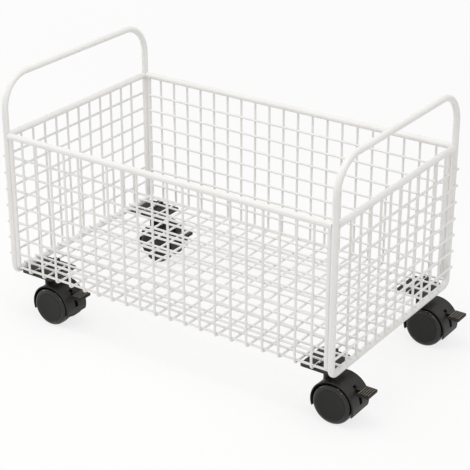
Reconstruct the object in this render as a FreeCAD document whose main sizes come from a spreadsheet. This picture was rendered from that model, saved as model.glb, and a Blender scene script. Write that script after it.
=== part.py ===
import FreeCAD, Part
import os
import re

import Sketcher

# Welded wire basket cart on four hooded twin-wheel casters.
# Frame: X along the cart, Y front (-) to back (+), Z up. Origin on the floor, under the basket's centre.

# Driving dimensions, in millimetres (counts are plain numbers); those that follow from others are formulas.
DIMENSIONS = (
    ("rod_d", 8.2, "diameter of hoop and rim rods"),
    ("leg_d", 5.5, "diameter of the legs beside the posts"),
    ("wire_d", 3.0, "diameter of mesh wires"),
    ("weld_sink", 0.3, "how far crossing wires and rods are sunk into each other by the weld"),
    ("butt", 0.6, "how far a butt welded end runs into a rod"),
    ("mesh_pitch", 22.0, "spacing of mesh wires"),
    ("cross_z", 70.3, "centre height of the floor cross wires"),
    ("hoop_x", 234.5, "end hoop plane from the middle"),
    ("hoop_y", 138.5, "hoop post centre from the middle"),
    ("hoop_low_z", "=cross_z + (wire_d - rod_d) / 2", "centre height of the hoop's lower run"),
    ("handle_z", 324.5, "centre height of the handle bar"),
    ("handle_bend", 40.0, "centreline radius of the handle bends"),
    ("low_bend", 9.0, "centreline radius of the hoop's lower bends"),
    ("rim_z", 252.0, "centre height of the rim"),
    ("leg_x", "=hoop_x - (rod_d + leg_d) / 2 + weld_sink", "rim frame leg centre from the middle"),
    ("leg_low_z", 76.5, "lower end of the rim frame legs"),
    ("floor_bend", 4.2, "centreline radius where a floor cross wire turns up"),
    ("upright_count", 20, "uprights along the front and the back"),
    ("row_count", 7, "level wires up each side and end"),
    ("row_low_z", 92.2, "centre height of the lowest level wire"),
    ("corner_in", "=(floor_bend - wire_d + weld_sink) * sqrt(0.5)", "corner wire from the bend's centre"),
    ("corner_y", "=hoop_y + wire_d / 2 - floor_bend + corner_in", "bottom corner wire from the middle"),
    ("corner_z", "=cross_z + floor_bend - corner_in", "centre height of the bottom corner wires"),
    ("floor_count", 12, "long wires in the floor between the corner wires"),
    ("floor_pitch", 21.75, "spacing of the floor's long wires"),
    ("floor_end_x", 236.5, "end of the floor's long wires from the middle"),
    ("end_count", 11, "uprights in an end panel"),
    ("end_upright_x", "=hoop_x + (rod_d - wire_d) / 2", "end panel upright centre from the middle"),
    ("end_row_half", 140.5, "half length of an end cross wire"),
    ("clip_x", "=(upright_count - 1) / 2 * mesh_pitch", "cross wire that a caster clips to, from the middle"),
    ("kingpin_ahead", 6.5, "caster swivel axis from that wire, along +X"),
    ("kingpin_y", 110.5, "caster swivel axis from the middle, across the cart"),
    ("kingpin_r", 4.0, "kingpin radius"),
    ("kingpin_low_z", 31.0, "lower end of the kingpin"),
    ("pin_chamfer", 1.0, "chamfer at the kingpin's lower end"),
    ("collar_r", 6.2, "radius of the kingpin's collar under the plate"),
    ("collar_t", 9.0, "height of the kingpin's collar"),
    ("ring_low_z", 35.0, "underside of the grip ring in the kingpin's groove"),
    ("ring_t", 3.0, "height of the grip ring"),
    ("ring_wall", 0.6, "radial thickness of the grip ring"),
    ("ring_split", 1.2, "width of the grip ring's split"),
    ("running_gap", 0.05, "radial clearance of every turning fit"),
    ("plate_x", 50.0, "caster plate along the cart, where the hoop leaves it room"),
    ("plate_y", 50.0, "caster plate across the cart"),
    ("plate_gap", 0.5, "least room between a caster plate and a hoop"),
    ("plate_t", 2.5, "caster plate thickness"),
    ("plate_top_z", 68.6, "caster plate top"),
    ("plate_corner", 4.0, "caster plate corner radius"),
    ("clip_side", 8.0, "side of a wire clip on the plate"),
    ("clip_y", 20.0, "wire clip centre from the kingpin"),
    ("clip_top_z", 72.4, "top of the wire clips"),
    ("clip_mouth", 2.2, "opening of a wire clip, narrower than the wire"),
    ("clip_gap", 0.05, "clearance round the clipped wire"),
    ("trail", 14.8, "wheel axle behind the swivel axis"),
    ("wheel_r", 25.0, "wheel radius, and height of its axle"),
    ("wheel_in_y", 7.5, "wheel inner face from the caster's middle"),
    ("wheel_face_y", 20.9, "wheel outer face from the caster's middle"),
    ("shoulder_r", 4.8, "rounding between tread and outer face"),
    ("inner_edge_r", 0.8, "rounding of the tread's inner edge"),
    ("drum_r", 21.3, "inside radius of the wheel's rim"),
    ("drum_y", 16.6, "bottom of the wheel's hollow from the caster's middle"),
    ("hub_r", 7.7, "wheel hub radius"),
    ("face_groove_r", 19.4, "radius of the groove that rings the wheel face"),
    ("face_groove", 0.6, "width and depth of that groove"),
    ("axle_r", 3.0, "axle radius"),
    ("axle_half", 16.9, "half length of the axle"),
    ("axle_chamfer", 0.5, "chamfer at the axle's ends"),
    ("axle_end_gap", 0.3, "room beyond the axle's end"),
    ("hood_r", 28.3, "outside radius of the hood"),
    ("hood_wall", 1.2, "hood wall thickness"),
    ("hood_half", 18.7, "half width of the hood"),
    ("hood_low", 9.0, "hood's lower edge below the axle"),
    ("hood_edge_r", 0.8, "rounding of the hood's outer edges"),
    ("web_half", 7.0, "half thickness of the hood's middle web"),
    ("boss_r", 6.6, "radius of the kingpin socket"),
    ("boss_top", 28.2, "top of the kingpin socket above the axle"),
    ("slot_half", 2.8, "half width of the brake lever's slot"),
    ("slot_in", 5.0, "inner end of the lever slot from the axle"),
    ("slot_low", 1.0, "bottom of the lever slot above the axle"),
    ("slot_high", 22.0, "top of the lever slot above the axle"),
    ("pivot_x", 12.0, "lever pin from the axle, along the caster"),
    ("pivot_z", 12.0, "lever pin above the axle"),
    ("pivot_r", 1.5, "lever pin radius"),
    ("pivot_half", 6.8, "half length of the lever pin"),
    ("lever_hub_r", 4.0, "radius of the lever round its pin"),
    ("arm_half", 2.2, "half thickness of the lever's arm"),
    ("tab_in", 28.0, "inner end of the lever's foot tab from the axle"),
    ("tab_out", 43.2, "tip of the lever's foot tab from the axle"),
    ("tab_z", 17.2, "underside of the foot tab"),
    ("tab_t", 2.8, "thickness of the foot tab"),
    ("tab_half", 11.0, "half width of the foot tab"),
    ("tab_corner", 1.5, "corner radius at the tab's tip"),
    ("tab_lap", 1.0, "how far the arm runs into the tab"),
    ("tip_chamfer", 0.6, "chamfer along the tab's tip"),
    ("ridge_count", 5, "ridges across the foot tab"),
    ("ridge_in", 1.6, "first ridge from the tab's inner end"),
    ("ridge_pitch", 2.8, "spacing of the ridges"),
    ("ridge_w", 1.2, "width of a ridge"),
    ("ridge_h", 1.0, "height of a ridge above the tab"),
    ("ridge_half", 9.6, "half length of a ridge"),
    ("bar_x", 9.0, "brake bar from the axle, along the caster"),
    ("bar_z", 16.0, "brake bar above the axle"),
    ("bar_r", 1.2, "brake bar radius"),
    ("bar_half", 10.5, "half length of the brake bar"),
    ("bar_wall", 2.2, "reach of the lever's arm round the brake bar, from the bar's centre"),
    ("bar_room_x", 9.8, "middle of the brake bar's travel, along the caster"),
    ("bar_room_z", 16.4, "middle of the brake bar's travel, above the axle"),
    ("bar_room_r", 2.8, "radius of the window round the brake bar's travel"),
)

# Signs of X and Y at each corner of the cart.
CORNERS = {
    "front_left": (-1, -1),
    "front_right": (1, -1),
    "back_left": (-1, 1),
    "back_right": (1, 1),
}

doc = FreeCAD.newDocument("BasketCart")
sub_parts = []


def fill_sheet():
    """Write the dimensions to the sheet: description in column A, aliased number or formula in column B."""
    sheet = doc.addObject("Spreadsheet::Sheet", "Sizes")
    for row, (alias, content, words) in enumerate(DIMENSIONS, 1):
        sheet.set(f"A{row}", words)
        sheet.set(f"B{row}", str(content))
        sheet.setAlias(f"B{row}", alias)
    doc.recompute()
    return sheet


sheet = fill_sheet()
ALIASES = re.compile(r"\b(" + "|".join(alias for alias, _, _ in DIMENSIONS) + r")\b")


def on_sheet(expression):
    """The expression with each alias written as a cell of the sheet."""
    return ALIASES.sub(r"Sizes.\1", expression)


def size(expression):
    """The expression's present value."""
    return float(sheet.evalExpression(expression))


def bind(thing, name, expression):
    """Drive a property from the sheet."""
    thing.setExpression(name, on_sheet(expression))


def place(thing, x, y, z):
    """Drive a sub-part's position from the sheet."""
    for axis, expression in zip("xyz", (x, y, z)):
        bind(thing, f"Placement.Base.{axis}", expression)


def new_body(label):
    """An empty body that becomes one sub-part."""
    body = doc.addObject("PartDesign::Body", label)
    body.Label = label
    body.AllowCompound = True
    sub_parts.append(body)
    return body


def origin_feature(body, role):
    """One of the body's own origin planes or axes."""
    return next(feature for feature in body.Origin.OriginFeatures if feature.Role == role)


def new_sketch(body, name, plane, height="0"):
    """A sketch on one of the body's origin planes, lifted along the plane's normal."""
    sketch = body.newObject("Sketcher::SketchObject", f"{body.Name}_{name}")
    sketch.AttachmentSupport = [(origin_feature(body, plane), "")]
    sketch.MapMode = "FlatFace"
    bind(sketch, "AttachmentOffset.Base.z", height)
    return sketch


def dimension(sketch, kind, where, expression):
    """A sketch dimension that the sheet drives."""
    index = sketch.addConstraint(Sketcher.Constraint(kind, *where, size(expression)))
    bind(sketch, f"Constraints[{index}]", expression)


def hold_point(sketch, geometry, end, x, y):
    """Hold a sketch point at sheet-driven coordinates; a zero puts it on the axis."""
    for kind, axis, expression in (("DistanceX", -2, x), ("DistanceY", -1, y)):
        if expression == "0":
            sketch.addConstraint(Sketcher.Constraint("PointOnObject", geometry, end, axis))
        else:
            dimension(sketch, kind, (-1, 1, geometry, end), expression)


def point(x, y):
    """A sketch point at the present value of two expressions."""
    return FreeCAD.Vector(size(x), size(y), 0)


def circle(sketch, x, y, radius):
    """A circle with sheet-driven centre and radius."""
    curve = Part.Circle(point(x, y), FreeCAD.Vector(0, 0, 1), size(radius))
    index = sketch.addGeometry(curve)
    if x == y == "0":
        sketch.addConstraint(Sketcher.Constraint("Coincident", index, 3, -1, 1))
    else:
        hold_point(sketch, index, 3, x, y)
    dimension(sketch, "Radius", (index,), radius)


def polygon(sketch, corners):
    """A closed outline of straight lines through sheet-driven corners."""
    following = corners[1:] + corners[:1]
    lines = [sketch.addGeometry(Part.LineSegment(point(*start), point(*end)))
             for start, end in zip(corners, following)]
    for line, after in zip(lines, lines[1:] + lines[:1]):
        sketch.addConstraint(Sketcher.Constraint("Coincident", line, 2, after, 1))
    for line, (x, y) in zip(lines, corners):
        if x == y == "0":
            sketch.addConstraint(Sketcher.Constraint("Coincident", line, 1, -1, 1))
        else:
            hold_point(sketch, line, 1, x, y)


def rectangle(sketch, left, right, low, high):
    """An upright rectangle with sheet-driven sides."""
    polygon(sketch, [(left, low), (right, low), (right, high), (left, high)])


def rounded_path(sketch, corners, radii, closed):
    """Level and upright runs joined by quarter arcs, one radius for each inner corner."""
    spots = [point(*corner) for corner in corners]
    count = len(corners)
    inner = range(count) if closed else range(1, count - 1)
    arcs = {}
    for index, radius in zip(inner, radii):
        back = (spots[index - 1] - spots[index]).normalize()
        ahead = (spots[(index + 1) % count] - spots[index]).normalize()
        inward = back + ahead
        reach = size(radius)
        start = spots[index] + back * reach
        end = spots[index] + ahead * reach
        middle = spots[index] + inward * (reach * (1 - 0.5 ** 0.5))
        turns_left = back.x * ahead.y < back.y * ahead.x
        ends = (start, end) if turns_left else (end, start)
        arc = sketch.addGeometry(Part.Arc(ends[0], middle, ends[1]))
        first = 1 if turns_left else 2
        x, y = corners[index]
        hold_point(sketch, arc, 3, f"{x} + {inward.x:.0f} * {radius}", f"{y} + {inward.y:.0f} * {radius}")
        dimension(sketch, "Radius", (arc,), radius)
        from_upright = abs(back.y) > abs(back.x)
        kinds = ("Horizontal", "Vertical") if from_upright else ("Vertical", "Horizontal")
        sketch.addConstraint(Sketcher.Constraint(kinds[0], arc, first, arc, 3))
        sketch.addConstraint(Sketcher.Constraint(kinds[1], arc, 3 - first, arc, 3))
        arcs[index] = (arc, first, start, end)
    for index in range(count if closed else count - 1):
        after = (index + 1) % count
        leaves = arcs[index][3] if index in arcs else spots[index]
        meets = arcs[after][2] if after in arcs else spots[after]
        run = sketch.addGeometry(Part.LineSegment(leaves, meets))
        for end_id, corner in ((1, index), (2, after)):
            if corner in arcs:
                arc, first = arcs[corner][:2]
                joined = 3 - first if corner == index else first
                sketch.addConstraint(Sketcher.Constraint("Coincident", run, end_id, arc, joined))
            else:
                hold_point(sketch, run, end_id, *corners[corner])


def pad(body, sketch, length, both_ways=False):
    """Material added along the sketch's normal."""
    feature = body.newObject("PartDesign::Pad", f"{sketch.Name}_pad")
    feature.Profile = sketch
    feature.SideType = "Symmetric" if both_ways else "One side"
    bind(feature, "Length", length)
    return feature


def cut(body, sketch, length):
    """Material taken away to both sides of the sketch; the volume has to fall."""
    doc.recompute()
    before = body.Tip.Shape.Volume
    feature = body.newObject("PartDesign::Pocket", f"{sketch.Name}_cut")
    feature.Profile = sketch
    feature.SideType = "Symmetric"
    bind(feature, "Length", length)
    doc.recompute()
    if feature.Shape.Volume >= before:
        raise ValueError(f"{feature.Name} removes nothing")
    return feature


def pipe(body, profile, path):
    """A round section carried along a path."""
    feature = body.newObject("PartDesign::AdditivePipe", f"{path.Name}_pipe")
    feature.Profile = profile
    feature.Spine = path
    return feature


def revolve(body, profile, axis):
    """A full turn of a profile about one of the body's axes."""
    feature = body.newObject("PartDesign::Revolution", f"{profile.Name}_turned")
    feature.Profile = profile
    feature.ReferenceAxis = (origin_feature(body, axis), [""])
    feature.Angle = 360


def repeat(body, feature, axis, count, pitch):
    """Copies of a feature, or of the whole body so far, at an even spacing along one of the body's axes."""
    pattern = body.newObject("PartDesign::LinearPattern", f"{body.Name}_{axis}_row")
    if feature:
        pattern.Originals = [feature]
    else:
        pattern.TransformMode = "Whole shape"
    pattern.Direction = (origin_feature(body, axis), [""])
    pattern.Mode = "Spacing"
    bind(pattern, "Offset", pitch)
    bind(pattern, "Occurrences", count)
    body.Tip = pattern


def round_edges(body, name, radius, wanted):
    """Fillet the edges of the body so far that pass a test."""
    doc.recompute()
    base = body.Tip
    names = [f"Edge{index}" for index, edge in enumerate(base.Shape.Edges, 1) if wanted(edge)]
    if not names:
        raise ValueError(f"{body.Name} has no edge for {name}")
    feature = body.newObject("PartDesign::Fillet", f"{body.Name}_{name}")
    feature.Base = (base, names)
    bind(feature, "Radius", radius)
    body.Tip = feature


def is_ring(edge, radius, height):
    """True for a circular edge of that radius about Y at that distance from the middle."""
    curve = edge.Curve
    return (isinstance(curve, Part.Circle) and abs(curve.Radius - radius) < 1e-4
            and abs(abs(curve.Center.y) - height) < 1e-4)


def is_upright(edge):
    """True for a straight edge along Z."""
    return isinstance(edge.Curve, Part.Line) and abs(edge.Curve.Direction.z) > 0.999


# Frame rods


def hoop(label, side):
    """One end frame: a closed rounded loop whose upper run is the handle."""
    body = new_body(label)
    section = new_sketch(body, "section", "XY_Plane", "(handle_z + hoop_low_z) / 2")
    circle(section, "0", "hoop_y", "rod_d / 2")
    path = new_sketch(body, "path", "YZ_Plane")
    rounded_path(path, [("hoop_y", "hoop_low_z"), ("hoop_y", "handle_z"),
                        ("-hoop_y", "handle_z"), ("-hoop_y", "hoop_low_z")],
                 ["low_bend", "handle_bend", "handle_bend", "low_bend"], closed=True)
    pipe(body, section, path)
    place(body, f"{side} * hoop_x", "0", "0")


def rim_frame(label, side):
    """A rim rail butt welded between two hoops, with a slimmer leg beside each post."""
    body = new_body(label)
    section = new_sketch(body, "section", "YZ_Plane")
    circle(section, "0", "rim_z", "rod_d / 2")
    pad(body, section, "2 * (hoop_x - rod_d / 2 + butt)", both_ways=True)
    legs = new_sketch(body, "legs", "XY_Plane", "leg_low_z")
    for centre in ("-leg_x", "leg_x"):
        circle(legs, centre, "0", "leg_d / 2")
    pad(body, legs, "rim_z - leg_low_z")
    place(body, "0", f"{side} * hoop_y", "0")


def rim_bar(label, side):
    """The rim's end bar, butt welded between the two posts of a hoop."""
    body = new_body(label)
    section = new_sketch(body, "section", "XZ_Plane")
    circle(section, "0", "0", "rod_d / 2")
    pad(body, section, "2 * (hoop_y - rod_d / 2 + butt)", both_ways=True)
    place(body, f"{side} * hoop_x", "0", "rim_z")


# Mesh wires


def wire_row(label, plane, length, axis, count, pitch, both_ways=True):
    """Straight wires side by side, each a round section padded along its plane's normal."""
    body = new_body(label)
    section = new_sketch(body, "section", plane)
    circle(section, "0", "0", "wire_d / 2")
    wire = pad(body, section, length, both_ways)
    repeat(body, wire, axis, count, pitch)
    return body


def side_uprights(label, side):
    """Uprights of the front or back, from the floor bend to the rail's underside."""
    low = "cross_z + floor_bend + butt"
    high = "rim_z - sqrt((rod_d / 2) ^ 2 - (wire_d / 2) ^ 2) + butt"
    body = wire_row(label, "XY_Plane", f"{high} - ({low})", "X_Axis", "upright_count", "mesh_pitch",
                    both_ways=False)
    place(body, "-(upright_count - 1) / 2 * mesh_pitch", f"{side} * (hoop_y + wire_d / 2)", low)


def side_long_wires(label, side):
    """Long wires of the front or back, on the inner side of the uprights, and the bottom corner wire."""
    row_y = "hoop_y - wire_d / 2 + weld_sink"
    body = wire_row(label, "YZ_Plane", "2 * (leg_x - leg_d / 2 + butt)", "Z_Axis", "row_count", "mesh_pitch")
    corner = new_sketch(body, "corner", "YZ_Plane")
    circle(corner, f"{side} * (corner_y - ({row_y}))", "corner_z - row_low_z", "wire_d / 2")
    pad(body, corner, "2 * (hoop_x - rod_d / 2 + butt)", both_ways=True)
    place(body, "0", f"{side} * ({row_y})", "row_low_z")


def floor_cross_wires():
    """Floor wires across the cart, under the long wires, their ends turned up to meet the uprights."""
    body = new_body("floor_cross_wires")
    section = new_sketch(body, "section", "XZ_Plane")
    circle(section, "0", "cross_z", "wire_d / 2")
    path = new_sketch(body, "path", "YZ_Plane")
    edge_y = "(hoop_y + wire_d / 2)"
    high = "cross_z + floor_bend + butt"
    rounded_path(path, [(f"-{edge_y}", high), (f"-{edge_y}", "cross_z"),
                        (edge_y, "cross_z"), (edge_y, high)],
                 ["floor_bend", "floor_bend"], closed=False)
    wire = pipe(body, section, path)
    repeat(body, wire, "X_Axis", "upright_count", "mesh_pitch")
    place(body, "-(upright_count - 1) / 2 * mesh_pitch", "0", "0")


def floor_long_wires():
    """Floor wires along the cart, resting on the hoops' lower runs."""
    body = wire_row("floor_long_wires", "YZ_Plane", "2 * floor_end_x", "Y_Axis", "floor_count", "floor_pitch")
    place(body, "0", "-(floor_count - 1) / 2 * floor_pitch", "cross_z + wire_d - weld_sink")


def end_uprights(label, side):
    """Uprights of an end panel, between the hoop's lower run and the rim bar."""
    reach = "sqrt((rod_d / 2) ^ 2 - (end_upright_x - hoop_x) ^ 2)"
    low = f"hoop_low_z + {reach} - butt"
    high = f"rim_z - {reach} + butt"
    body = wire_row(label, "XY_Plane", f"{high} - ({low})", "Y_Axis", "end_count", "mesh_pitch",
                    both_ways=False)
    place(body, f"{side} * end_upright_x", "-(end_count - 1) / 2 * mesh_pitch", low)


def end_cross_wires(label, side):
    """Level wires of an end panel, outside the uprights, their ends welded to the outside of the posts."""
    body = wire_row(label, "XZ_Plane", "2 * end_row_half", "Z_Axis", "row_count", "mesh_pitch")
    place(body, f"{side} * (end_upright_x + wire_d - weld_sink)", "0", "row_low_z")


# Casters


def caster_plate(corner, x, y, x_sign):
    """Moulded plate under the floor, with two clips on a cross wire; at the right the hoop limits it."""
    body = new_body(f"{corner}_caster_plate")
    outline = new_sketch(body, "outline", "XY_Plane", "plate_top_z - plate_t")
    far_end = "plate_x / 2" if x_sign < 0 else f"hoop_x - rod_d / 2 - plate_gap - ({x})"
    rectangle(outline, "-plate_x / 2", far_end, "-plate_y / 2", "plate_y / 2")
    pad(body, outline, "plate_t")
    round_edges(body, "corners", "plate_corner", is_upright)
    clips = new_sketch(body, "clips", "XY_Plane", "plate_top_z")
    for centre in ("clip_y", "-clip_y"):
        rectangle(clips, "-kingpin_ahead - clip_side / 2", "-kingpin_ahead + clip_side / 2",
                  f"{centre} - clip_side / 2", f"{centre} + clip_side / 2")
    pad(body, clips, "clip_top_z - plate_top_z")
    groove = new_sketch(body, "groove", "XZ_Plane")
    circle(groove, "-kingpin_ahead", "cross_z", "wire_d / 2 + clip_gap")
    cut(body, groove, "2 * plate_y")
    mouth = new_sketch(body, "mouth", "XZ_Plane")
    rectangle(mouth, "-kingpin_ahead - clip_mouth / 2", "-kingpin_ahead + clip_mouth / 2",
              "cross_z", "clip_top_z + wire_d")
    cut(body, mouth, "2 * plate_y")
    seat = new_sketch(body, "seat", "XY_Plane", "plate_top_z")
    circle(seat, "0", "0", "kingpin_r")
    cut(body, seat, "4 * plate_t")
    place(body, x, y, "0")


def kingpin(corner, x, y):
    """Steel pin pressed into the plate, with a collar under it and a groove for the grip ring."""
    body = new_body(f"{corner}_kingpin")
    profile = new_sketch(body, "profile", "XZ_Plane")
    collar_low = "plate_top_z - plate_t - collar_t"
    groove_r = "kingpin_r - ring_wall"
    polygon(profile, [("0", "kingpin_low_z"), ("kingpin_r - pin_chamfer", "kingpin_low_z"),
                      ("kingpin_r", "kingpin_low_z + pin_chamfer"),
                      ("kingpin_r", "ring_low_z"), (groove_r, "ring_low_z"),
                      (groove_r, "ring_low_z + ring_t"), ("kingpin_r", "ring_low_z + ring_t"),
                      ("kingpin_r", collar_low), ("collar_r", collar_low),
                      ("collar_r", "plate_top_z - plate_t"), ("kingpin_r", "plate_top_z - plate_t"),
                      ("kingpin_r", "plate_top_z"), ("0", "plate_top_z")])
    revolve(body, profile, "Z_Axis")
    place(body, x, y, "0")


def grip_rings():
    """Four split spring rings, one in each kingpin's groove."""
    body = new_body("grip_rings")
    section = new_sketch(body, "section", "XY_Plane", "ring_low_z")
    circle(section, "0", "0", "kingpin_r")
    circle(section, "0", "0", "kingpin_r - ring_wall")
    pad(body, section, "ring_t")
    split = new_sketch(body, "split", "XY_Plane", "ring_low_z")
    rectangle(split, "0", "2 * kingpin_r", "-ring_split / 2", "ring_split / 2")
    cut(body, split, "4 * ring_t")
    repeat(body, None, "X_Axis", "2", "2 * clip_x")
    repeat(body, None, "Y_Axis", "2", "2 * kingpin_y")
    place(body, "kingpin_ahead - clip_x", "-kingpin_y", "0")


def hood(corner, x, y):
    """Hood over both wheels: a part ring joined by a middle web that holds the kingpin, axle and lever."""
    body = new_body(f"{corner}_hood")
    ring = new_sketch(body, "ring", "XZ_Plane")
    circle(ring, "0", "0", "hood_r")
    circle(ring, "0", "0", "hood_r - hood_wall")
    pad(body, ring, "2 * hood_half", both_ways=True)
    web = new_sketch(body, "web", "XZ_Plane")
    circle(web, "0", "0", "hood_r - hood_wall / 2")
    pad(body, web, "2 * web_half", both_ways=True)
    below = new_sketch(body, "below", "XZ_Plane")
    rectangle(below, "-2 * hood_r", "2 * hood_r", "-2 * hood_r", "-hood_low")
    cut(body, below, "4 * hood_half")
    round_edges(body, "rim", "hood_edge_r",
                lambda edge: is_ring(edge, size("hood_r"), size("hood_half")))
    boss = new_sketch(body, "boss", "XY_Plane", "-hood_low")
    circle(boss, "-trail", "0", "boss_r")
    pad(body, boss, "hood_low + boss_top")
    socket = new_sketch(body, "socket", "XY_Plane")
    circle(socket, "-trail", "0", "kingpin_r + running_gap")
    cut(body, socket, "4 * hood_r")
    bores = new_sketch(body, "bores", "XZ_Plane")
    circle(bores, "0", "0", "axle_r")
    circle(bores, "pivot_x", "pivot_z", "pivot_r")
    circle(bores, "bar_room_x", "bar_room_z", "bar_room_r")
    cut(body, bores, "4 * web_half")
    slot = new_sketch(body, "slot", "XZ_Plane")
    rectangle(slot, "slot_in", "2 * hood_r", "slot_low", "slot_high")
    cut(body, slot, "2 * slot_half")
    place(body, x, y, "wheel_r")


def axle(corner, x, y):
    """Steel axle held in the hood's web, carrying both wheels."""
    body = new_body(f"{corner}_axle")
    profile = new_sketch(body, "profile", "XY_Plane")
    polygon(profile, [("0", "-axle_half"), ("axle_r - axle_chamfer", "-axle_half"),
                      ("axle_r", "-axle_half + axle_chamfer"), ("axle_r", "axle_half - axle_chamfer"),
                      ("axle_r - axle_chamfer", "axle_half"), ("0", "axle_half")])
    revolve(body, profile, "Y_Axis")
    place(body, x, y, "wheel_r")


def lever_pin(corner, x, y):
    """Short pin in the web that the brake lever turns on."""
    pin = doc.addObject("Part::Cylinder", f"{corner}_lever_pin")
    pin.Label = pin.Name
    bind(pin, "Radius", "pivot_r")
    bind(pin, "Height", "2 * pivot_half")
    pin.Placement.Rotation = FreeCAD.Rotation(FreeCAD.Vector(1, 0, 0), -90)
    place(pin, f"{x} + pivot_x", f"{y} - pivot_half", "wheel_r + pivot_z")
    sub_parts.append(pin)


def wheel(label, x, y, side):
    """Moulded wheel: closed outer face, hollow inner side with a hub on the axle and a plain brake drum."""
    body = new_body(label)
    profile = new_sketch(body, "profile", "XY_Plane")
    bore = "axle_r + running_gap"
    bore_end = "axle_half + axle_end_gap"
    groove_y = "wheel_face_y - face_groove"
    polygon(profile, [("0", bore_end), (bore, bore_end), (bore, "wheel_in_y"), ("hub_r", "wheel_in_y"),
                      ("hub_r", "drum_y"), ("drum_r", "drum_y"), ("drum_r", "wheel_in_y"),
                      ("wheel_r", "wheel_in_y"), ("wheel_r", "wheel_face_y"),
                      ("face_groove_r + face_groove", "wheel_face_y"),
                      ("face_groove_r + face_groove", groove_y), ("face_groove_r", groove_y),
                      ("face_groove_r", "wheel_face_y"), ("0", "wheel_face_y")])
    revolve(body, profile, "Y_Axis")
    round_edges(body, "shoulder", "shoulder_r",
                lambda edge: is_ring(edge, size("wheel_r"), size("wheel_face_y")))
    round_edges(body, "inner_edge", "inner_edge_r",
                lambda edge: is_ring(edge, size("wheel_r"), size("wheel_in_y")))
    if side < 0:
        body.Placement.Rotation = FreeCAD.Rotation(FreeCAD.Vector(0, 0, 1), 180)
    place(body, x, y, "wheel_r")


def brake_lever(corner, x, y):
    """Foot lever: arm through the hood's slot, ridged tab outside, brake bar inside the wheels' drums."""
    body = new_body(f"{corner}_brake_lever")
    hub = new_sketch(body, "hub", "XZ_Plane")
    circle(hub, "pivot_x", "pivot_z", "lever_hub_r")
    pad(body, hub, "2 * arm_half", both_ways=True)
    arm = new_sketch(body, "arm", "XZ_Plane")
    tab_top = "tab_z + tab_t"
    polygon(arm, [("bar_x - bar_wall", "bar_z"), ("pivot_x - lever_hub_r", "pivot_z"),
                  ("pivot_x", "pivot_z - lever_hub_r"), ("tab_in + tab_lap", "tab_z"),
                  ("tab_in + tab_lap", tab_top), ("bar_x", "bar_z + bar_wall")])
    pad(body, arm, "2 * arm_half", both_ways=True)
    tab = new_sketch(body, "tab", "XZ_Plane")
    polygon(tab, [("tab_in", "tab_z"), ("tab_out", "tab_z"), ("tab_out", f"{tab_top} - tip_chamfer"),
                  ("tab_out - tip_chamfer", tab_top), ("tab_in", tab_top)])
    pad(body, tab, "2 * tab_half", both_ways=True)
    round_edges(body, "tip", "tab_corner",
                lambda edge: is_upright(edge) and abs(edge.CenterOfMass.x - size("tab_out")) < 1e-4)
    ridge = new_sketch(body, "ridge", "XZ_Plane")
    rectangle(ridge, "tab_in + ridge_in", "tab_in + ridge_in + ridge_w",
              "tab_z + tab_t / 2", f"{tab_top} + ridge_h")
    first = pad(body, ridge, "2 * ridge_half", both_ways=True)
    repeat(body, first, "X_Axis", "ridge_count", "ridge_pitch")
    bar = new_sketch(body, "bar", "XZ_Plane")
    circle(bar, "bar_x", "bar_z", "bar_r")
    pad(body, bar, "2 * bar_half", both_ways=True)
    bore = new_sketch(body, "bore", "XZ_Plane")
    circle(bore, "pivot_x", "pivot_z", "pivot_r + running_gap")
    cut(body, bore, "4 * arm_half")
    place(body, x, y, "wheel_r")


def caster(corner, x_sign, y_sign):
    """Every piece of one caster; the axle trails behind the swivel axis along +X."""
    x = f"{x_sign} * clip_x + kingpin_ahead"
    y = f"{y_sign} * kingpin_y"
    axle_x = f"{x} + trail"
    caster_plate(corner, x, y, x_sign)
    kingpin(corner, x, y)
    hood(corner, axle_x, y)
    axle(corner, axle_x, y)
    lever_pin(corner, axle_x, y)
    wheel(f"{corner}_outer_wheel", axle_x, y, y_sign)
    wheel(f"{corner}_inner_wheel", axle_x, y, -y_sign)
    brake_lever(corner, axle_x, y)


def build_all():
    """Make every sub-part of the cart."""
    for name, side in (("left", -1), ("right", 1)):
        hoop(f"{name}_hoop", side)
        rim_bar(f"{name}_rim_bar", side)
        end_uprights(f"{name}_end_uprights", side)
        end_cross_wires(f"{name}_end_cross_wires", side)
    for name, side in (("front", -1), ("back", 1)):
        rim_frame(f"{name}_rim_frame", side)
        side_uprights(f"{name}_uprights", side)
        side_long_wires(f"{name}_long_wires", side)
    floor_cross_wires()
    floor_long_wires()
    grip_rings()
    for corner, (x_sign, y_sign) in CORNERS.items():
        caster(corner, x_sign, y_sign)
    doc.recompute()


def check_all():
    """Stop if any object failed or any sub-part has no sound shape."""
    for thing in doc.Objects:
        if "Invalid" in thing.State or "Error" in thing.State:
            raise RuntimeError(f"{thing.Name} failed: {thing.State}")
    for sub_part in sub_parts:
        if sub_part.Shape.isNull() or not sub_part.Shape.isValid():
            raise RuntimeError(f"{sub_part.Label} has no sound shape")


def write_all():
    """One STEP file for each sub-part, named by its label."""
    os.makedirs("parts", exist_ok=True)
    for sub_part in sub_parts:
        shape = sub_part.Shape
        print(f"{sub_part.Label}: {len(shape.Solids)} solids, {shape.Volume:.0f} cubic mm")
        shape.exportStep(f"parts/{sub_part.Label}.step")


build_all()
check_all()
write_all()
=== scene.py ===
import math

import bmesh
import bpy
from bpy.props import FloatProperty, FloatVectorProperty, PointerProperty
from mathutils import Matrix, Vector


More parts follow.
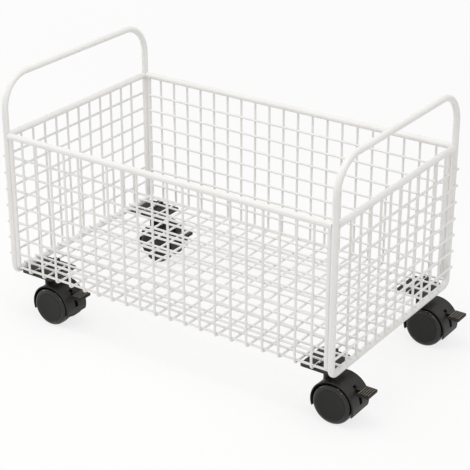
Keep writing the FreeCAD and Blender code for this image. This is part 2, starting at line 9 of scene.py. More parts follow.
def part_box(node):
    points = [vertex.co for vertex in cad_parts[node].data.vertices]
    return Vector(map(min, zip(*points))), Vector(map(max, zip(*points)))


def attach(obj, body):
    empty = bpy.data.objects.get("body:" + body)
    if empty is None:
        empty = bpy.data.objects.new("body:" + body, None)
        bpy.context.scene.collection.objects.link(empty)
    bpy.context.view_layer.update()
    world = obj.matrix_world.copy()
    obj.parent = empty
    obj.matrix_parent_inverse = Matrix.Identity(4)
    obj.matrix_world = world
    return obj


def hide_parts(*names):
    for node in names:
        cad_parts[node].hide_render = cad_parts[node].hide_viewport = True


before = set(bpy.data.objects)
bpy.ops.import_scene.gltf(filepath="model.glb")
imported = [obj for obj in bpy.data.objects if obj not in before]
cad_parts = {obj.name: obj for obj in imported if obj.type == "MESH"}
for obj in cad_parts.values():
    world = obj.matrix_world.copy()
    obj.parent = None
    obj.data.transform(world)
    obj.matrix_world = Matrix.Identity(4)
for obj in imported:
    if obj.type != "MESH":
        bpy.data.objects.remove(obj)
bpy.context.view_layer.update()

bl_info = {
    "name": "Wire Basket Cart",
    "version": (1, 0, 0),
    "blender": (4, 5, 0),
    "location": "View3D > Sidebar > Cart",
    "description": "Finishes and fine detail of a welded wire basket cart on twin-wheel casters",
    "category": "Object",
}

MM = 0.001

CORNERS = ("front_left", "front_right", "back_left", "back_right")
ENDS = {"left": -1, "right": 1}
SIDES = {"front": -1, "back": 1}

ROD_NODES = ("left_hoop", "right_hoop", "front_rim_frame", "back_rim_frame", "left_rim_bar", "right_rim_bar")
WIRE_NODES = ("front_uprights", "back_uprights", "front_long_wires", "back_long_wires", "floor_cross_wires",
              "floor_long_wires", "left_end_uprights", "right_end_uprights", "left_end_cross_wires",
              "right_end_cross_wires")

# Wires in each panel, as the frame has them.
UPRIGHTS = 20
SIDE_ROWS = 7
FLOOR_WIRES = 12
END_UPRIGHTS = 11
END_ROWS = 7

# Half height of a weld pressed flat between crossing wires, as a share of the wire's radius.
PRESSED = 0.8

# Inside of a wheel as the frame has it, and where its finishes change, in millimetres. Depths are from the
# caster's middle, the tread's skin and the ring's width from the rim.
DRUM_RADIUS = 21.3
DRUM_DEPTH = 16.6
HUB_RADIUS = 7.7
BORE_RADIUS = 3.05
BORE_DEPTH = 17.2
BROKEN_EDGE = 0.3
TREAD_SKIN = 0.6
TREAD_EDGE = 17.0
RING_WIDTH = 5.3
RING_EDGE = 16.0


def linear(colour):
    """An sRGB hex colour as linear red, green, blue and alpha."""
    channels = [int(colour[place:place + 2], 16) / 255 for place in (1, 3, 5)]
    return (*(c / 12.92 if c <= 0.04045 else ((c + 0.055) / 1.055) ** 2.4 for c in channels), 1.0)


def colour_setting(name, description, default):
    """A colour that the panel shows."""
    return FloatVectorProperty(name=name, description=description, subtype="COLOR", size=4, min=0.0, max=1.0,
                               default=linear(default))


class CartFinishes(bpy.types.PropertyGroup):
    """Colours of the cart's materials."""

    coat: colour_setting("Powder coat", "White of the rods and wires", "#f0efed")
    coat_thin: colour_setting("Thin coat", "Slightly greyer white where the coat is thinner", "#e7e5e2")
    hood: colour_setting("Hood nylon", "Black of the caster hoods and plates", "#1d1c1a")
    hood_pale: colour_setting("Pale nylon", "Greyer cast of the glass fibre in the nylon", "#2a2826")
    wheel: colour_setting("Wheel", "Black of the wheel faces", "#131210")
    wheel_pale: colour_setting("Pale wheel", "Greyer cast of the wheel faces", "#1b1a18")
    tread: colour_setting("Tread", "Black of the running surface", "#222120")
    dust: colour_setting("Tread dust", "Grey of the dust rolled into the tread", "#4a4743")
    lever: colour_setting("Lever", "Brown black of the brake levers", "#100f0d")
    # Painted highlight along the tops of the lever's ridges.
    lever_highlight: colour_setting("Lever highlight", "Painted highlight on the tops of the lever's ridges", "#756d63")
    oxide: colour_setting("Black oxide", "Blued steel of the kingpins", "#2a2928")
    steel: colour_setting("Steel", "Bare turned steel", "#b4b2ae")


def length_setting(name, description, millimetres):
    """A length that the panel shows."""
    return FloatProperty(name=name, description=description, unit="LENGTH", default=millimetres * MM, min=0.0)


class CartDetails(bpy.types.PropertyGroup):
    """Sizes of the fine detail."""

    nugget: length_setting("Weld nugget", "How far a spot weld swells past the wires it joins", 0.3)
    bead: length_setting("Weld bead", "How far the bead at a wire's end swells past the wire", 0.6)
    dome: length_setting("Coated end", "Height of the rounded coat on a cut wire end", 0.5)
    leg_face: length_setting("Leg face", "Inner side of the legs from the cart's middle", 225.2)
    dish: length_setting("Wheel dish", "Hollow of the wheel face at its middle", 0.5)
    shoulder: length_setting("Wheel shoulder", "Rounding between the wheel's face and its tread", 4.8)
    lip: length_setting("Hood lip", "Radius of the moulded lip round the hood's edges", 0.75)


class CartStage(bpy.types.PropertyGroup):
    """Camera and light."""

    azimuth: FloatProperty(name="Azimuth", description="Camera's turn round the cart from its front",
                           subtype="ANGLE", default=math.radians(34.54))
    elevation: FloatProperty(name="Elevation", description="Camera's angle above the floor",
                             subtype="ANGLE", default=math.radians(25.12))
    distance: FloatProperty(name="Distance", description="Camera from the point it looks at",
                            unit="LENGTH", default=1.863)
    aim: FloatVectorProperty(name="Aim", description="Point that the camera looks at", subtype="XYZ",
                             unit="LENGTH", default=(0.0136, -0.0064, 0.1325))
    lens: FloatProperty(name="Lens", description="Focal length on a 36 mm sensor, in millimetres",
                        default=115.3)
    key: FloatProperty(name="Key light", description="Power of the overhead softbox in watts", default=11.0)
    fill: FloatProperty(name="Fill light", description="Power of the front softbox in watts", default=2.0)
    side: FloatProperty(name="Side light", description="Power of the left softbox in watts", default=5.0)
    sky: FloatProperty(name="Sky", description="Brightness of the light from all round", default=0.67)


def add_node(tree, kind, settings, links=()):
    """A shader node with its settings (own values, then sockets by name) and links (socket, from output)."""
    made = tree.nodes.new(kind)
    for name, value in settings.items():
        if hasattr(made, name):
            setattr(made, name, value)
        else:
            made.inputs[name].default_value = value
    for socket, output in links:
        tree.links.new(output, made.inputs[socket])
    return made


def new_material(name):
    """An empty node material and its tree."""
    material = bpy.data.materials.new(name)
    material.use_nodes = True
    material.node_tree.nodes.clear()
    return material, material.node_tree


def close_material(tree, shader):
    """Join the finished shader to the output."""
    add_node(tree, "ShaderNodeOutputMaterial", {}, [("Surface", shader.outputs[0])])


def polyester_powder_coat(finishes):
    """Baked polyester powder on steel wire: satin white with a faint orange peel, greyer where it is thin."""
    material, tree = new_material("polyester_powder_coat")
    place = add_node(tree, "ShaderNodeTexCoord", {})
    at = place.outputs["Object"]
    # The coat builds up and thins out over about 40 mm.
    cast = add_node(tree, "ShaderNodeTexNoise", {"Scale": 1 / (40 * MM), "Detail": 2.0}, [("Vector", at)])
    tone = add_node(tree, "ShaderNodeMix", {"data_type": "RGBA", "A": finishes.coat, "B": finishes.coat_thin},
                    [("Factor", cast.outputs["Fac"])])
    # Orange peel is about 1 mm across; it is drawn at 2 mm so that it shows.
    peel = add_node(tree, "ShaderNodeTexNoise", {"Scale": 1 / (2 * MM), "Detail": 1.0}, [("Vector", at)])
    gloss = add_node(tree, "ShaderNodeMapRange", {"To Min": 0.34, "To Max": 0.46},
                     [("Value", peel.outputs["Fac"])])
    bump = add_node(tree, "ShaderNodeBump", {"Strength": 0.25, "Distance": 0.05 * MM},
                    [("Height", peel.outputs["Fac"])])
    shader = add_node(tree, "ShaderNodeBsdfPrincipled", {"IOR": 1.5},
                      [("Base Color", tone.outputs["Result"]), ("Roughness", gloss.outputs[0]),
                       ("Normal", bump.outputs[0])])
    close_material(tree, shader)
    return material


def moulded_nylon(name, dark, pale, rough_low, rough_high, grain_mm, sheen):
    """Glass filled nylon from a mould: black with a grey cast and a fine grain, satin or polished."""
    material, tree = new_material(name)
    place = add_node(tree, "ShaderNodeTexCoord", {})
    at = place.outputs["Object"]
    # Fibre swirls are 10 mm or so long.
    swirl = add_node(tree, "ShaderNodeTexNoise", {"Scale": 1 / (10 * MM), "Detail": 4.0, "Distortion": 0.8},
                     [("Vector", at)])
    tone = add_node(tree, "ShaderNodeMix", {"data_type": "RGBA", "A": dark, "B": pale},
                    [("Factor", swirl.outputs["Fac"])])
    # The mould's grain is about 0.2 mm; it is drawn coarser so that it shows.
    grain = add_node(tree, "ShaderNodeTexNoise", {"Scale": 1 / (grain_mm * MM), "Detail": 2.0},
                     [("Vector", at)])
    gloss = add_node(tree, "ShaderNodeMapRange", {"To Min": rough_low, "To Max": rough_high},
                     [("Value", grain.outputs["Fac"])])
    bump = add_node(tree, "ShaderNodeBump", {"Strength": 0.3, "Distance": 0.05 * MM},
                    [("Height", grain.outputs["Fac"])])
    shader = add_node(tree, "ShaderNodeBsdfPrincipled", {"IOR": 1.53, "Specular IOR Level": sheen},
                      [("Base Color", tone.outputs["Result"]), ("Roughness", gloss.outputs[0]),
                       ("Normal", bump.outputs[0])])
    close_material(tree, shader)
    return material


def highlighted_lever_nylon(finishes):
    """Moulded nylon foot lever: brown black and fine grained, with a painted highlight along its ridge tops,
    broken into patches.
    """
    material, tree = new_material("highlighted_lever_nylon")
    place = add_node(tree, "ShaderNodeTexCoord", {})
    at = place.outputs["Object"]
    level = add_node(tree, "ShaderNodeSeparateXYZ", {}, [(0, at)])
    # The painted highlight takes the upper half millimetre of the ridges.
    ridge_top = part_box("front_left_brake_lever")[1].z
    top = add_node(tree, "ShaderNodeMapRange",
                   {"From Min": ridge_top - 0.7 * MM, "From Max": ridge_top - 0.1 * MM},
                   [("Value", level.outputs["Z"])])
    # Scuffs in the gloss, and the breaks in the painted highlight, are a millimetre or two long.
    scuff_and_highlight_noise = add_node(tree, "ShaderNodeTexNoise", {"Scale": 1 / (1.5 * MM), "Detail": 4.0, "Roughness": 0.6},
                      [("Vector", at)])
    patchy = add_node(tree, "ShaderNodeMapRange",
                      {"From Min": 0.3, "From Max": 0.6, "To Min": 0.25, "To Max": 1.0},
                      [("Value", scuff_and_highlight_noise.outputs["Fac"])])
    # Painted highlight: the ridge tops are mixed towards a pale brown, in patches.
    painted_highlight = add_node(tree, "ShaderNodeMath", {"operation": "MULTIPLY"},
                    [(0, top.outputs[0]), (1, patchy.outputs[0])])
    tone = add_node(tree, "ShaderNodeMix",
                    {"data_type": "RGBA", "A": finishes.lever, "B": finishes.lever_highlight},
                    [("Factor", painted_highlight.outputs[0])])
    gloss = add_node(tree, "ShaderNodeMapRange", {"To Min": 0.36, "To Max": 0.52},
                     [("Value", scuff_and_highlight_noise.outputs["Fac"])])
    bump = add_node(tree, "ShaderNodeBump", {"Strength": 0.3, "Distance": 0.05 * MM},
                    [("Height", scuff_and_highlight_noise.outputs["Fac"])])
    shader = add_node(tree, "ShaderNodeBsdfPrincipled", {"IOR": 1.53, "Specular IOR Level": 0.28},
                      [("Base Color", tone.outputs["Result"]), ("Roughness", gloss.outputs[0]),
                       ("Normal", bump.outputs[0])])
    close_material(tree, shader)
    return material


def turned_steel(name, colour, rough_low, rough_high, along):
    """Turned steel pin stock: metal with fine rings of tool marks along its length."""
    material, tree = new_material(name)
    place = add_node(tree, "ShaderNodeTexCoord", {})
    rings = add_node(tree, "ShaderNodeVectorMath", {"operation": "MULTIPLY"}, [(0, place.outputs["Object"])])
    rings.inputs[1].default_value = along
    # Tool marks are about 0.1 mm apart; they are drawn at 0.5 mm so that they show.
    marks = add_node(tree, "ShaderNodeTexNoise", {"Scale": 1 / (0.5 * MM), "Detail": 1.0},
                     [("Vector", rings.outputs[0])])
    gloss = add_node(tree, "ShaderNodeMapRange", {"To Min": rough_low, "To Max": rough_high},
                     [("Value", marks.outputs["Fac"])])
    bump = add_node(tree, "ShaderNodeBump", {"Strength": 0.2, "Distance": 0.02 * MM},
                    [("Height", marks.outputs["Fac"])])
    shader = add_node(tree, "ShaderNodeBsdfPrincipled", {"Metallic": 1.0, "Base Color": colour},
                      [("Roughness", gloss.outputs[0]), ("Normal", bump.outputs[0])])
    close_material(tree, shader)
    return material


def polyurethane_tread(finishes):
    """Moulded tread: dull black, with floor dust rolled into it in patches."""
    material, tree = new_material("polyurethane_tread")
    place = add_node(tree, "ShaderNodeTexCoord", {})
    # Dust lies in patches about 3 mm across.
    patches = add_node(tree, "ShaderNodeTexNoise", {"Scale": 1 / (3 * MM), "Detail": 5.0, "Roughness": 0.65},
                       [("Vector", place.outputs["Object"])])
    amount = add_node(tree, "ShaderNodeMapRange", {"From Min": 0.5, "From Max": 0.85, "To Max": 0.5},
                      [("Value", patches.outputs["Fac"])])
    tone = add_node(tree, "ShaderNodeMix", {"data_type": "RGBA", "A": finishes.tread, "B": finishes.dust},
                    [("Factor", amount.outputs[0])])
    gloss = add_node(tree, "ShaderNodeMapRange", {"To Min": 0.42, "To Max": 0.7},
                     [("Value", patches.outputs["Fac"])])
    bump = add_node(tree, "ShaderNodeBump", {"Strength": 0.2, "Distance": 0.05 * MM},
                    [("Height", patches.outputs["Fac"])])
    shader = add_node(tree, "ShaderNodeBsdfPrincipled", {"IOR": 1.5},
                      [("Base Color", tone.outputs["Result"]), ("Roughness", gloss.outputs[0]),
                       ("Normal", bump.outputs[0])])
    close_material(tree, shader)
    return material


def paint(nodes, material):
    """Give CAD nodes a material."""
    for name in nodes:
        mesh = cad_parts[name].data
        mesh.materials.clear()
        mesh.materials.append(material)


def finish_piece(name, bm, materials, body):
    """Turn a bmesh into a smooth shaded piece that rides on a body."""
    mesh = bpy.data.meshes.new(name)
    bm.to_mesh(mesh)
    bm.free()
    if not mesh.polygons:
        raise RuntimeError(f"{name} has no faces")
    for material in materials:
        mesh.materials.append(material)
    mesh.shade_smooth()
    piece = bpy.data.objects.new(name, mesh)
    bpy.context.scene.collection.objects.link(piece)
    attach(piece, body)
    return piece


def even(low, high, count):
    """Evenly spaced places from low to high, ends included."""
    return [low + (high - low) * index / (count - 1) for index in range(count)]


def wire_places(node, axis, count, radius):
    """Centres along one axis of a node's evenly spaced wires."""
    low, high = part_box(node)
    return even(low[axis] + radius, high[axis] - radius, count)


def wire_radius():
    """Radius of the mesh wires."""
    low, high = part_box("front_uprights")
    return (high.y - low.y) / 2


class CART_OT_powder_coat(bpy.types.Operator):
    """Coat the rods and wires of the frame and basket"""

    bl_idname = "cart.powder_coat"
    bl_label = "Powder coat"

    def execute(self, context):
        paint(ROD_NODES + WIRE_NODES, polyester_powder_coat(context.scene.cart_finishes))
        return {"FINISHED"}


def weld_piece(name, beads):
    """One coated piece of weld beads; each bead is a squashed ball with a place and its half sizes."""
    bm = bmesh.new()
    for spot, halves in beads:
        bmesh.ops.create_uvsphere(bm, u_segments=8, v_segments=4, radius=1.0,
                                  matrix=Matrix.LocRotScale(spot, None, halves))
    coat = bpy.data.materials["polyester_powder_coat"]
    finish_piece(name, bm, [coat], "cart")


def squashed(wide, flat_axis, flat):
    """Half sizes of a bead that is flat along one axis."""
    halves = Vector((wide, wide, wide))
    halves[flat_axis] = flat
    return halves


def side_rows(side, columns):
    """Heights of the level wires up a side, which are spaced as its uprights are."""
    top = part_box(f"{side}_long_wires")[1].z
    pitch = columns[1] - columns[0]
    return [top - wire_radius() - pitch * index for index in range(SIDE_ROWS)]


class CART_OT_spot_welds(bpy.types.Operator):
    """Coated spot weld nuggets where the mesh wires cross"""

    bl_idname = "cart.spot_welds"
    bl_label = "Spot welds"

    def execute(self, context):
        radius = wire_radius()
        wide = radius + context.scene.cart_details.nugget
        flat = radius * PRESSED
        columns = wire_places("front_uprights", 0, UPRIGHTS, radius)
        for side, sign in SIDES.items():
            low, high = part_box(f"{side}_uprights")
            face = low.y if sign > 0 else high.y
            weld_piece(f"{side}_spot_welds", [(Vector((x, face, z)), squashed(wide, 1, flat))
                                              for x in columns for z in side_rows(side, columns)])
        for end, sign in ENDS.items():
            low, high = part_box(f"{end}_end_cross_wires")
            face = low.x if sign > 0 else high.x
            rows = wire_places(f"{end}_end_cross_wires", 2, END_ROWS, radius)
            places = wire_places(f"{end}_end_uprights", 1, END_UPRIGHTS, radius)
            weld_piece(f"{end}_spot_welds", [(Vector((face, y, z)), squashed(wide, 0, flat))
                                             for y in places for z in rows])
        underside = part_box("floor_long_wires")[0].z
        lanes = wire_places("floor_long_wires", 1, FLOOR_WIRES, radius)
        weld_piece("floor_spot_welds", [(Vector((x, y, underside)), squashed(wide, 2, flat))
                                        for x in columns for y in lanes])
        return {"FINISHED"}


class CART_OT_end_welds(bpy.types.Operator):
    """Weld beads where wires end on rods, and the rounded coat on cut wire ends"""

    bl_idname = "cart.end_welds"
    bl_label = "End welds"

    def side_beads(self, side, sign, details):
        """Beads under the rail, on the legs and at the corner wire's ends."""
        radius = wire_radius()
        wide = radius + details.bead
        columns = wire_places("front_uprights", 0, UPRIGHTS, radius)
        low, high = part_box(f"{side}_uprights")
        middle = (low.y + high.y) / 2
        beads = [(Vector((x, middle, high.z)), squashed(wide, 2, radius)) for x in columns]
        low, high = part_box(f"{side}_long_wires")
        row_y = low.y + radius if sign < 0 else high.y - radius
        corner_y = high.y - radius if sign < 0 else low.y + radius
        for end in (-1, 1):
            beads += [(Vector((end * details.leg_face, row_y, z)), squashed(wide, 0, radius))
                      for z in side_rows(side, columns)]
            beads.append((Vector((end * high.x, corner_y, low.z + radius)), squashed(wide, 0, radius)))
        weld_piece(f"{side}_end_welds", beads)

    def end_beads(self, end, sign, details):
        """Beads at the ends of an end panel's uprights, and where level and floor wires cross the hoop."""
        radius = wire_radius()
        wide = radius + details.bead
        flat = radius * PRESSED
        low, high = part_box(f"{end}_end_uprights")
        middle = (low.x + high.x) / 2
        places = wire_places(f"{end}_end_uprights", 1, END_UPRIGHTS, radius)
        beads = [(Vector((middle, y, z)), squashed(wide, 2, radius)) for y in places for z in (low.z, high.z)]
        low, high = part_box(f"{end}_end_cross_wires")
        face = low.x if sign > 0 else high.x
        hoop_low, hoop_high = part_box(f"{end}_hoop")
        rod = (hoop_high.x - hoop_low.x) / 2
        for z in wire_places(f"{end}_end_cross_wires", 2, END_ROWS, radius):
            beads += [(Vector((face, y, z)), squashed(wide, 0, flat))
                      for y in (hoop_low.y + rod, hoop_high.y - rod)]
        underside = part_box("floor_long_wires")[0].z
        beads += [(Vector(((hoop_low.x + hoop_high.x) / 2, y, underside)), squashed(wide, 2, flat))
                  for y in wire_places("floor_long_wires", 1, FLOOR_WIRES, radius)]
        weld_piece(f"{end}_end_welds", beads)

    def coated_ends(self, end, details):
        """Domes of coat on the cut ends of an end panel's level wires and the floor's long wires."""
        radius = wire_radius()
        low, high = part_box(f"{end}_end_cross_wires")
        middle = (low.x + high.x) / 2
        domes = [(Vector((middle, y, z)), squashed(radius, 1, details.dome))
                 for y in (low.y, high.y) for z in wire_places(f"{end}_end_cross_wires", 2, END_ROWS, radius)]
        low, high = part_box("floor_long_wires")
        tip = low.x if end == "left" else high.x
        domes += [(Vector((tip, y, (low.z + high.z) / 2)), squashed(radius, 0, details.dome))
                  for y in wire_places("floor_long_wires", 1, FLOOR_WIRES, radius)]
        weld_piece(f"{end}_coated_ends", domes)

    def execute(self, context):
        details = context.scene.cart_details
        for side, sign in SIDES.items():
            self.side_beads(side, sign, details)
        for end, sign in ENDS.items():
            self.end_beads(end, sign, details)
            self.coated_ends(end, details)
        return {"FINISHED"}


def wheel_profile(radius, inner, face, shoulder, dish):
    """Half section of a wheel as (radius, distance out from the caster's middle), in millimetres."""
    flat = radius - shoulder
    # The disc lies a little below the ring, with a groove a millimetre wide between them.
    disc = flat - 1.0
    sunk = face - 0.3
    hollow = [(disc * part, sunk - dish * (1 - part ** 2)) for part in (0, 0.2, 0.4, 0.6, 0.8, 0.92, 1)]
    groove = [(disc + across, face - deep)
              for across, deep in ((0.2, 0.5), (0.45, 0.6), (0.7, 0.5), (0.9, 0.2))]
    turns = [math.radians(angle) for angle in (4, 12, 22, 32, 42, 52, 62, 72, 82, 90)]
    rounded = [(flat + shoulder * math.sin(turn), face - shoulder + shoulder * math.cos(turn))
               for turn in turns]
    # The tread curls in to the inner face.
    tread = [(radius - drop, inner + out)
             for drop, out in ((0, 2.4), (0.06, 1.4), (0.25, 0.6), (0.7, 0.12), (1.4, 0))]
    drum = [(DRUM_RADIUS + BROKEN_EDGE, inner), (DRUM_RADIUS, inner + BROKEN_EDGE),
            (DRUM_RADIUS, DRUM_DEPTH - BROKEN_EDGE), (DRUM_RADIUS - BROKEN_EDGE, DRUM_DEPTH)]
    hub = [(HUB_RADIUS + BROKEN_EDGE, DRUM_DEPTH), (HUB_RADIUS, DRUM_DEPTH - BROKEN_EDGE),
           (HUB_RADIUS, inner + BROKEN_EDGE), (HUB_RADIUS - BROKEN_EDGE, inner)]
    bore = [(BORE_RADIUS + BROKEN_EDGE, inner), (BORE_RADIUS, inner + BROKEN_EDGE), (BORE_RADIUS, BORE_DEPTH),
            (0, BORE_DEPTH)]
    return hollow + groove + rounded + tread + drum + hub + bore


class CART_OT_wheels(bpy.types.Operator):
    """Moulded wheels with a dished face, a rounded shoulder and a dusty tread"""

    bl_idname = "cart.wheels"
    bl_label = "Wheels"

    def wheel(self, name, centre, side, profile, materials, body):
        """One wheel, spun about its axle; its materials are face, ring and tread, in that order."""
        bm = bmesh.new()
        verts = [bm.verts.new((radius * MM, side * out * MM, 0)) for radius, out in profile]
        edges = [bm.edges.new(pair) for pair in zip(verts, verts[1:])]
        bmesh.ops.spin(bm, geom=verts + edges, cent=(0, 0, 0), axis=(0, 1, 0), angle=math.tau, steps=96,
                       use_merge=True)
        bmesh.ops.remove_doubles(bm, verts=bm.verts, dist=1e-6)
        bmesh.ops.recalc_face_normals(bm, faces=bm.faces)
        rim = max(radius for radius, out in profile) * MM
        for face in bm.faces:
            spot = face.calc_center_median()
            radius = math.hypot(spot.x, spot.z)
            out = spot.y * side
            if radius > rim - TREAD_SKIN * MM and out < TREAD_EDGE * MM:
                face.material_index = 2
            elif radius > rim - RING_WIDTH * MM and out > RING_EDGE * MM:
                face.material_index = 1
        bmesh.ops.translate(bm, vec=centre, verts=bm.verts)
        return finish_piece(name, bm, materials, body)

    def execute(self, context):
        finishes = context.scene.cart_finishes
        details = context.scene.cart_details
        face = moulded_nylon("satin_nylon_wheel", finishes.wheel, finishes.wheel_pale,
                             rough_low=0.26, rough_high=0.36, grain_mm=1.2, sheen=0.24)
        ring = moulded_nylon("polished_nylon_ring", finishes.wheel, finishes.wheel_pale,
                             rough_low=0.06, rough_high=0.1, grain_mm=1.2, sheen=0.42)
        materials = [face, ring, polyurethane_tread(finishes)]
        for corner in CORNERS:
            axle_low, axle_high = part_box(f"{corner}_axle")
            centre = (axle_low + axle_high) / 2
            for twin in ("outer", "inner"):
                node = f"{corner}_{twin}_wheel"
                low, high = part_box(node)
                side = 1 if (low.y + high.y) / 2 > centre.y else -1
                reach = sorted((abs(low.y - centre.y), abs(high.y - centre.y)))
                profile = wheel_profile((high.z - low.z) / 2 / MM, reach[0] / MM, reach[1] / MM,
                                        details.shoulder / MM, details.dish / MM)
                piece = self.wheel(f"{corner}_{twin}_wheel_moulding", centre, side, profile, materials,
                                   f"{corner}_wheel_{twin}")
                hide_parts(node)
        return {"FINISHED"}


class CART_OT_hood_lips(bpy.types.Operator):
    """Moulded lip round the edges of each caster hood"""

    bl_idname = "cart.hood_lips"
    bl_label = "Hood lips"

    def lip(self, corner, thick, material):
        """A rounded bead along both rims and both lower edges of a hood."""
        low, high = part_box(f"{corner}_hood")
        axle_low, axle_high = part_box(f"{corner}_axle")
        axle = (axle_low + axle_high) / 2
        # The bead is partly sunk in the hood's wall and keeps inside the hood's width and its lower edge.
        inset = thick * 1.4
        radius = high.x - axle.x - thick * 0.5
        rim = (high.y - low.y) / 2 - inset
        dip = math.asin((axle.z - low.z - inset) / radius)
        sweep = math.pi + 2 * dip
        bm = bmesh.new()
        for side in (-rim, rim):
            place = Matrix.Translation((radius, side, 0))
            verts = bmesh.ops.create_circle(bm, segments=8, radius=thick, matrix=place)["verts"]
            edges = list({edge for vert in verts for edge in vert.link_edges})
            bmesh.ops.rotate(bm, cent=(0, 0, 0), matrix=Matrix.Rotation(dip, 3, "Y"), verts=verts)
            bmesh.ops.spin(bm, geom=verts + edges, cent=(0, 0, 0), axis=(0, -1, 0), angle=sweep, steps=56)
        for angle in (dip, math.pi - dip):
            spot = Vector((radius * math.cos(angle), 0, -radius * math.sin(dip)))
            bmesh.ops.create_cone(bm, cap_ends=True, segments=8, radius1=thick, radius2=thick, depth=2 * rim,
                                  matrix=Matrix.Translation(spot) @ Matrix.Rotation(math.pi / 2, 4, "X"))
        bmesh.ops.holes_fill(bm, edges=[edge for edge in bm.edges if edge.is_boundary], sides=0)
        bmesh.ops.recalc_face_normals(bm, faces=bm.faces)
        bmesh.ops.translate(bm, vec=axle, verts=bm.verts)
        finish_piece(f"{corner}_hood_lip", bm, [material], f"{corner}_swivel")

    def execute(self, context):
        for corner in CORNERS:
            self.lip(corner, context.scene.cart_details.lip, bpy.data.materials["spark_textured_nylon"])
        return {"FINISHED"}


class CART_OT_caster_bodies(bpy.types.Operator):
    """Nylon hoods and plates, brake levers and steel pins"""

    bl_idname = "cart.caster_bodies"
    bl_label = "Caster bodies"

    def execute(self, context):
        finishes = context.scene.cart_finishes
        nylon = moulded_nylon("spark_textured_nylon", finishes.hood, finishes.hood_pale,
                              rough_low=0.4, rough_high=0.54, grain_mm=0.9, sheen=0.28)
        paint([f"{corner}_{piece}" for corner in CORNERS for piece in ("hood", "caster_plate")], nylon)
        paint([f"{corner}_brake_lever" for corner in CORNERS], highlighted_lever_nylon(finishes))
        upright = (0.0, 0.0, 1.0)
        across = (0.0, 1.0, 0.0)
        paint([f"{corner}_kingpin" for corner in CORNERS],
              turned_steel("black_oxide_steel", finishes.oxide,
                           rough_low=0.35, rough_high=0.5, along=upright))
        paint([f"{corner}_{piece}" for corner in CORNERS for piece in ("axle", "lever_pin")],
              turned_steel("turned_steel", finishes.steel, rough_low=0.2, rough_high=0.35, along=across))
        paint(["grip_rings"],
              turned_steel("drawn_spring_steel", finishes.steel,
                           rough_low=0.3, rough_high=0.45, along=upright))
        return {"FINISHED"}


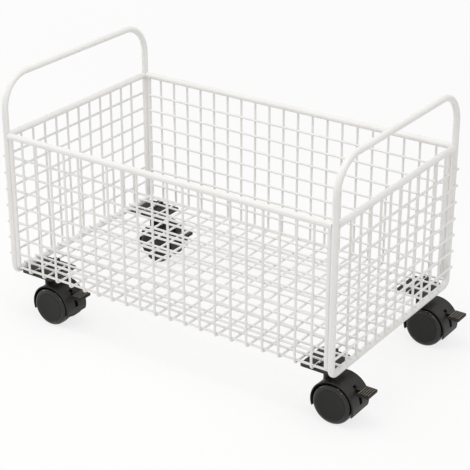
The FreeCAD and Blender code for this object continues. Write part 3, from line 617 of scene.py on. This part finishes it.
class CART_OT_stage(bpy.types.Operator):
    """Pale floor, soft studio light and the camera"""

    bl_idname = "cart.stage"
    bl_label = "Stage"

    def background_seen(self, tree):
        """One where the camera, a reflection or glass sees the background, nought for falling light."""
        path = add_node(tree, "ShaderNodeLightPath", {})
        direct = add_node(tree, "ShaderNodeMath", {"operation": "ADD"},
                          [(0, path.outputs["Is Camera Ray"]), (1, path.outputs["Is Glossy Ray"])])
        return add_node(tree, "ShaderNodeMath", {"operation": "ADD", "use_clamp": True},
                        [(0, direct.outputs[0]), (1, path.outputs["Is Transmission Ray"])])

    def floor(self):
        """A large disc that fades to the white of the backdrop and keeps a soft shadow."""
        bm = bmesh.new()
        bmesh.ops.create_circle(bm, cap_ends=True, segments=96, radius=8.0)
        mesh = bpy.data.meshes.new("floor")
        bm.to_mesh(mesh)
        bm.free()
        floor = bpy.data.objects.new("floor", mesh)
        bpy.context.scene.collection.objects.link(floor)
        material, tree = new_material("white_paper_floor")
        place = add_node(tree, "ShaderNodeTexCoord", {})
        # The floor keeps some shadow within 0.6 m of the cart's middle and is all white from 2.5 m.
        away = add_node(tree, "ShaderNodeVectorMath", {"operation": "LENGTH"}, [(0, place.outputs["Object"])])
        fade = add_node(tree, "ShaderNodeMapRange",
                        {"From Min": 0.6, "From Max": 2.5, "To Min": 0.78, "To Max": 1.0},
                        [("Value", away.outputs["Value"])])
        seen = add_node(tree, "ShaderNodeMath", {"operation": "MULTIPLY"},
                        [(0, fade.outputs[0]), (1, self.background_seen(tree).outputs[0])])
        paper = add_node(tree, "ShaderNodeBsdfDiffuse", {"Color": linear("#f4f4f2")})
        white = add_node(tree, "ShaderNodeEmission", {"Color": linear("#ffffff"), "Strength": 1.0})
        mixed = add_node(tree, "ShaderNodeMixShader", {},
                         [(0, seen.outputs[0]), (1, paper.outputs[0]), (2, white.outputs[0])])
        close_material(tree, mixed)
        mesh.materials.append(material)

    def backdrop(self, sky):
        """A world that lights evenly and shows white to the camera and in reflections."""
        world = bpy.data.worlds.new("studio")
        world.use_nodes = True
        tree = world.node_tree
        tree.nodes.clear()
        level = add_node(tree, "ShaderNodeMapRange", {"To Min": sky, "To Max": 1.0},
                         [("Value", self.background_seen(tree).outputs[0])])
        light = add_node(tree, "ShaderNodeBackground", {"Color": linear("#ffffff")},
                         [("Strength", level.outputs[0])])
        add_node(tree, "ShaderNodeOutputWorld", {}, [("Surface", light.outputs[0])])
        bpy.context.scene.world = world

    def softbox(self, name, place, aim, size, power):
        """An area light of a width and height, turned to the cart."""
        data = bpy.data.lights.new(name, "AREA")
        data.shape = "RECTANGLE"
        data.size, data.size_y = size
        data.energy = power
        lamp = bpy.data.objects.new(name, data)
        lamp.location = place
        lamp.rotation_mode = "QUATERNION"
        lamp.rotation_quaternion = (aim - place).to_track_quat("-Z", "Y")
        bpy.context.scene.collection.objects.link(lamp)

    def camera(self, stage, aim):
        """The photographer's place."""
        data = bpy.data.cameras.new("camera")
        data.lens = stage.lens
        data.sensor_width = 36.0
        camera = bpy.data.objects.new("camera", data)
        back = Vector((math.sin(stage.azimuth) * math.cos(stage.elevation),
                       -math.cos(stage.azimuth) * math.cos(stage.elevation), math.sin(stage.elevation)))
        camera.location = aim + back * stage.distance
        camera.rotation_mode = "QUATERNION"
        camera.rotation_quaternion = (-back).to_track_quat("-Z", "Y")
        bpy.context.scene.collection.objects.link(camera)
        bpy.context.scene.camera = camera

    def execute(self, context):
        stage = context.scene.cart_stage
        aim = Vector(stage.aim)
        self.floor()
        self.backdrop(stage.sky)
        # Places, widths and heights are in metres.
        self.softbox("overhead_softbox", Vector((0.1, -0.35, 1.9)), aim, (0.8, 0.8), stage.key)
        self.softbox("front_softbox", Vector((0.99, -1.36, 1.27)), aim, (0.35, 0.35), stage.fill)
        self.softbox("left_softbox", Vector((-1.6, -0.5, 0.9)), aim, (0.7, 1.2), stage.side)
        self.camera(stage, aim)
        context.scene.view_settings.view_transform = "Standard"
        return {"FINISHED"}


class CART_PT_panel(bpy.types.Panel):
    """Builds the cart's finishes and detail, step by step"""

    bl_idname = "CART_PT_panel"
    bl_label = "Wire Basket Cart"
    bl_space_type = "VIEW_3D"
    bl_region_type = "UI"
    bl_category = "Cart"

    def draw(self, context):
        for settings in (context.scene.cart_finishes, context.scene.cart_details, context.scene.cart_stage):
            box = self.layout.box()
            for name in settings.__annotations__:
                box.prop(settings, name)
        for step in STEPS:
            self.layout.operator(step.bl_idname)


STEPS = (CART_OT_powder_coat, CART_OT_spot_welds, CART_OT_end_welds, CART_OT_wheels, CART_OT_caster_bodies,
         CART_OT_hood_lips, CART_OT_stage)
CLASSES = (CartFinishes, CartDetails, CartStage, *STEPS, CART_PT_panel)


def register():
    for cls in CLASSES:
        bpy.utils.register_class(cls)
    bpy.types.Scene.cart_finishes = PointerProperty(type=CartFinishes)
    bpy.types.Scene.cart_details = PointerProperty(type=CartDetails)
    bpy.types.Scene.cart_stage = PointerProperty(type=CartStage)


def unregister():
    del bpy.types.Scene.cart_stage
    del bpy.types.Scene.cart_details
    del bpy.types.Scene.cart_finishes
    for cls in reversed(CLASSES):
        bpy.utils.unregister_class(cls)


def main():
    register()
    bpy.ops.cart.powder_coat()
    bpy.ops.cart.spot_welds()
    bpy.ops.cart.end_welds()
    bpy.ops.cart.wheels()
    bpy.ops.cart.caster_bodies()
    bpy.ops.cart.hood_lips()
    bpy.ops.cart.stage()


if __name__ == "__main__":
    main()
